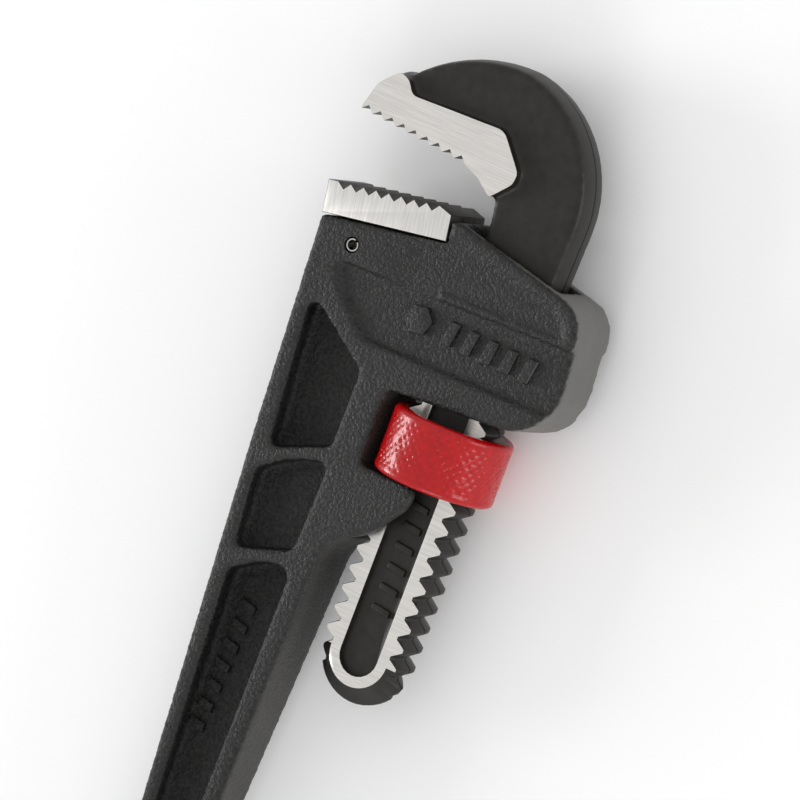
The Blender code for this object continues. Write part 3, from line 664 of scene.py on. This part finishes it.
# %% Grind the flats and mill the teeth
def slice_off(shape, spot, outwards):
    """Cut away what lies outwards of a plane through the spot and close the cut."""
    geometry = shape.verts[:] + shape.edges[:] + shape.faces[:]
    cut = bmesh.ops.bisect_plane(shape, geom=geometry, plane_co=spot, plane_no=outwards,
                                 clear_outer=True)["geom_cut"]
    rim = [item for item in cut if isinstance(item, bmesh.types.BMEdge)]
    bmesh.ops.triangle_fill(shape, edges=rim, use_beauty=True, use_dissolve=True)


def grind_flats(piece, height):
    """Slice the piece off flat at the same height above and below the middle plane."""
    shape = bmesh.new()
    shape.from_mesh(piece.data)
    for side in (1, -1):
        slice_off(shape, (0, 0, middle + side * height), (0, 0, side))
    shape.to_mesh(piece.data)
    shape.free()


grind_flats(forging, FLAT_HEIGHT)
mill = bmesh.new()
tooth_line = [first_tip]
for tooth in range(HOOK_TEETH):
    tooth_line.append(first_tip + row * (tooth + 0.5) * TOOTH_PITCH + into * TOOTH_DEPTH)
    tooth_line.append(first_tip + row * (tooth + 1) * TOOTH_PITCH)
far_below = 10 * MM
mill_outline = [NOSE_TIP - row * 5 * MM, NOSE_TIP] + tooth_line + INNER_EDGE
mill_outline += [INNER_EDGE[1] - Vector((2 * MM, far_below)), NOSE_TIP - row * 5 * MM - into * far_below]
add_prism(mill, mill_outline, -far_below, far_below, SHANK)
use_tool(forging, make_piece("tooth_mill", mill), "DIFFERENCE")

# %% Join the screw-cut shank
NECK_CUT = 6.5 * MM
THREAD_TOP_CUT = 7.9 * MM
head = bmesh.new()
head.from_mesh(forging.data)
slice_off(head, SHANK @ Vector((0, NECK_CUT, 0)), -along_shank)
head.to_mesh(forging.data)
head.free()
screw = copy_of_node("hook_jaw")
slice_off(screw, SHANK @ Vector((0, THREAD_TOP_CUT, 0)), along_shank)
use_tool(forging, make_piece("screw", screw), "UNION")

# %% [markdown]
# The groove of the shank carries plain raised bars where a maker would put a size mark.

# %% Mark the shank, then give the hook its metals
GROOVE_HEIGHT = 3.05 * MM
GROOVE_MARK = 0.6 * MM
SHANK_FLAT = 4.25 * MM
groove_bars = mark_outlines((0.6 * MM, -19 * MM), (0, -4.4 * MM), 6, 1.4 * MM, 4.2 * MM, radians(90))
raise_marks(forging, groove_bars, GROOVE_HEIGHT, GROOVE_MARK, SHANK)

forging.data.materials.clear()
for metal in (BLACK_OXIDE, GROUND_HOOK, DARK_SCALE):
    forging.data.materials.append(metal)
for face in forging.data.polygons:
    spot = to_shank @ face.center
    height = abs(spot.z)
    on_flat = abs(face.normal.z) > 0.97
    on_head = abs(height - FLAT_HEIGHT) < 0.02 * MM
    on_shank = spot.y < THREAD_TOP_CUT and abs(height - SHANK_FLAT) < 0.02 * MM
    if on_flat and (on_head or on_shank):
        face.material_index = 1
    elif spot.y > 40 * MM and (spot.xy - ROW_END).dot(into) < TOOTH_DEPTH * 1.02 and spot.x < -11 * MM:
        face.material_index = 2
shade_by_angle(forging, radians(35))
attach(forging, "jaw")
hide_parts("hook_jaw")
print("the hook has", len(forging.data.polygons), "faces")

# %% [markdown]
# ## The nut
# The nut is turned, knurled, threaded and dipped in enamel. Its rim is spun as a ring with enough
# rows to carry the knurl. Enamel floods most of the real knurl and leaves a lattice of small pits,
# so each point of the outer wall is moved in along its radius where two sets of waves cross. A slow
# noise makes some pits shallower and the enamel lumpy.

# %% Turn the nut
NUT_RADIUS = 12.5 * MM
NUT_HEIGHT = 13.7 * MM
NUT_EDGE = 1.1 * MM
NUT_BORE = 8.15 * MM
NUT_MOUTH = 10.35 * MM
KNURL_COUNT = 40
KNURL_DEPTH = 0.26 * MM
LUMPS = 0.12 * MM
KNURL_ROWS = 56
wall_low = NUT_EDGE - NUT_HEIGHT
wall_rows = [wall_low + (-NUT_EDGE - wall_low) * row_index / KNURL_ROWS
             for row_index in range(KNURL_ROWS + 1)]
edge_arc = [radians(15 * step) for step in range(1, 6)]
section = [(NUT_BORE, 1.5 * MM - NUT_HEIGHT), (NUT_MOUTH, -NUT_HEIGHT), (NUT_RADIUS - NUT_EDGE, -NUT_HEIGHT)]
section += [(NUT_RADIUS - NUT_EDGE + NUT_EDGE * sin(a), wall_low - NUT_EDGE * cos(a)) for a in edge_arc]
section += [(NUT_RADIUS, height) for height in wall_rows]
section += [(NUT_RADIUS - NUT_EDGE + NUT_EDGE * cos(a), NUT_EDGE * sin(a) - NUT_EDGE) for a in edge_arc]
section += [(NUT_RADIUS - NUT_EDGE, 0), (NUT_MOUTH, 0), (NUT_BORE, -1.5 * MM)]
ring = bmesh.new()
points = [ring.verts.new((radius, height, 0)) for radius, height in section]
edges = [ring.edges.new((points[index - 1], points[index])) for index in range(len(points))]
bmesh.ops.spin(ring, geom=points + edges, cent=(0, 0, 0), axis=(0, 1, 0), angle=2 * pi,
               steps=KNURL_COUNT * 8, use_merge=True)

# %% Press the knurl and cut the thread
for point in ring.verts:
    radius = (point.co.x ** 2 + point.co.z ** 2) ** 0.5
    if radius < NUT_RADIUS - 0.01 * MM:
        continue
    turn = atan2(point.co.z, point.co.x) * KNURL_COUNT
    rise = point.co.y * KNURL_COUNT / NUT_RADIUS
    pit = (sin((turn + rise) / 2) * sin((turn - rise) / 2)) ** 4
    flow = noise.noise(point.co / (3 * MM))
    edge_fade = min(1, (-point.co.y - NUT_EDGE) / MM, (point.co.y + NUT_HEIGHT - NUT_EDGE) / MM)
    sunk = KNURL_DEPTH * pit * (0.55 + 0.9 * flow) + LUMPS * (0.6 + flow)
    scale = 1 - sunk * max(0, edge_fade) / NUT_RADIUS
    point.co.x *= scale
    point.co.z *= scale
bmesh.ops.transform(ring, matrix=SHANK @ Matrix.Translation((0, NUT_TOP, 0)), verts=ring.verts)
nut = make_piece("knurled_nut", ring)

THREAD_PITCH = 4.2 * MM
NUT_THREAD_RADIUS = 10.05 * MM
thread = bmesh.new()
crest, foot = 0.35 * MM, 2.0 * MM
ridge = [(NUT_BORE - 0.4 * MM, -foot), (NUT_THREAD_RADIUS, -crest), (NUT_THREAD_RADIUS, crest),
         (NUT_BORE - 0.4 * MM, foot)]
turns = ceil(NUT_HEIGHT / THREAD_PITCH) + 2
start = thread.faces.new([thread.verts.new((r, h + THREAD_PITCH, 0)) for r, h in ridge])
bmesh.ops.spin(thread, geom=[start], cent=(0, 0, 0), axis=(0, 1, 0), dvec=(0, -THREAD_PITCH / 48, 0),
               angle=-2 * pi * turns, steps=48 * turns)
bmesh.ops.transform(thread, matrix=SHANK, verts=thread.verts)
use_tool(nut, make_piece("nut_thread", thread), "DIFFERENCE")

# %% [markdown]
# Enamel covers the outside only. The mouth of the bore and the thread are left bare, so they shine
# where the enamel stops.

# %% Enamel outside, bare steel inside
nut.data.materials.clear()
nut.data.materials.append(RED_ENAMEL)
nut.data.materials.append(SPRING_STEEL)
for face in nut.data.polygons:
    spot = to_shank @ face.center
    face.material_index = 1 if (spot.x ** 2 + spot.z ** 2) ** 0.5 < NUT_MOUTH else 0
shade_by_angle(nut, radians(35))
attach(nut, "nut")
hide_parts("adjusting_nut")
print("the nut has", len(nut.data.polygons), "faces")

# %% [markdown]
# ## The two springs
# The leaf is a cut strip with its top bent away, already right in the CAD model but for its broken
# edges. The coil is wound from wire: a circle spun up a helix.

# %% Leaf and coil
leaf_shape = copy_of_node("flat_spring")
break_edges(leaf_shape, 0.08 * MM)
leaf = make_piece("leaf_spring", leaf_shape)
leaf.data.materials.clear()
leaf.data.materials.append(SPRING_STEEL)
shade_by_angle(leaf, radians(30))
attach(leaf, "spring_leaf")
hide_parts("flat_spring")

coil_low, coil_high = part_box("coil_spring")
WIRE = 0.4 * MM
COIL_TURNS = 6
coil_radius = (coil_high.y - coil_low.y) / 2 - WIRE
coil_middle = (coil_low + coil_high) / 2
coil_pitch = (coil_high.x - coil_low.x - 2 * WIRE) / COIL_TURNS
coil_start = Matrix.Translation((coil_low.x + WIRE, coil_middle.y + coil_radius, coil_middle.z))
coil_shape = bmesh.new()
bmesh.ops.create_circle(coil_shape, cap_ends=True, segments=12, radius=WIRE, matrix=coil_start)
bmesh.ops.spin(coil_shape, geom=coil_shape.faces[:], cent=(0, coil_middle.y, coil_middle.z), axis=(1, 0, 0),
               dvec=(coil_pitch / 32, 0, 0), angle=2 * pi * COIL_TURNS, steps=32 * COIL_TURNS)
coil = make_piece("coil_spring_wire", coil_shape)
coil.data.materials.append(SPRING_STEEL)
shade_by_angle(coil, radians(40))
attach(coil, "handle")
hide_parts("coil_spring")
print("coil of", COIL_TURNS, "turns, pitch", round(coil_pitch / MM, 2), "mm")

# %% [markdown]
# ## The studio
# A pale floor, an even pale sky and large soft lights, as for a catalogue. The sides of the tool
# mirror the pale floor, and the ground faces mirror the sky above.

# %% Floor, sky and soft lights
floor_shape = bmesh.new()
bmesh.ops.create_grid(floor_shape, x_segments=1, y_segments=1, size=6)
floor = make_piece("studio_floor", floor_shape)
paper, paper_tree, paper_shader = new_material("matt_paper_backdrop", "#fafafa", 0.9, 0.0)
floor.data.materials.append(paper)

world = bpy.data.worlds.new("studio_sky")
world.use_nodes = True
world.node_tree.nodes["Background"].inputs["Color"].default_value = (1, 1, 1, 1)
world.node_tree.nodes["Background"].inputs["Strength"].default_value = 0.78
bpy.context.scene.world = world
bpy.context.scene.view_settings.view_transform = "Standard"


def soft_light(name, place, size, power):
    """Hang a square soft box that looks at the middle of the tool."""
    lamp = bpy.data.lights.new(name, "AREA")
    lamp.size = size
    lamp.energy = power
    holder = bpy.data.objects.new(name, lamp)
    bpy.context.scene.collection.objects.link(holder)
    holder.location = place
    holder.rotation_mode = "QUATERNION"
    holder.rotation_quaternion = Vector(place).to_track_quat("Z", "Y")
    holder.visible_camera = False


soft_light("low_left", (-1.3, -0.1, 0.4), 0.5, 9)
soft_light("low_right", (1.4, 0.1, 0.3), 0.7, 6)
soft_light("from_below_the_handle", (0.2, -1.3, 0.8), 0.7, 5)

# %% [markdown]
# ## The camera
# A long lens two metres away, leaning 26 degrees from straight above towards the right-hand side,
# and rolled a little, so that the handle runs out of the lower left of the picture.

# %% Aim the long lens
SWING = radians(26)
ROLL = radians(3.44)
SWING_DIRECTION = radians(9.56)
DISTANCE = 2.0
SCALE = 5.05 / MM
to_side = Vector((cos(SWING_DIRECTION), sin(SWING_DIRECTION), 0))
view = to_side * sin(SWING) + Vector((0, 0, 1)) * cos(SWING)
level = (to_side - view * sin(SWING)).normalized()
upright = view.cross(level)
right = level * cos(ROLL) + upright * sin(ROLL)
up = upright * cos(ROLL) - level * sin(ROLL)
FACE_HEIGHT = 8 * MM
aim = SEAT @ Vector((0, 0, FACE_HEIGHT)) + right * 79 / SCALE - up * 187 / SCALE

camera_data = bpy.data.cameras.new("long_lens")
camera_data.sensor_width = 36
camera_data.lens = 36 * SCALE * DISTANCE / 800
camera_data.clip_end = 20
camera = bpy.data.objects.new("long_lens", camera_data)
bpy.context.scene.collection.objects.link(camera)
pose = Matrix.Identity(4)
pose.col[0] = (*right, 0)
pose.col[1] = (*up, 0)
pose.col[2] = (*view, 0)
pose.col[3] = (*(aim + view * DISTANCE), 1)
camera.matrix_world = pose
bpy.context.scene.camera = camera
print("lens", round(camera_data.lens), "mm at", DISTANCE, "m")
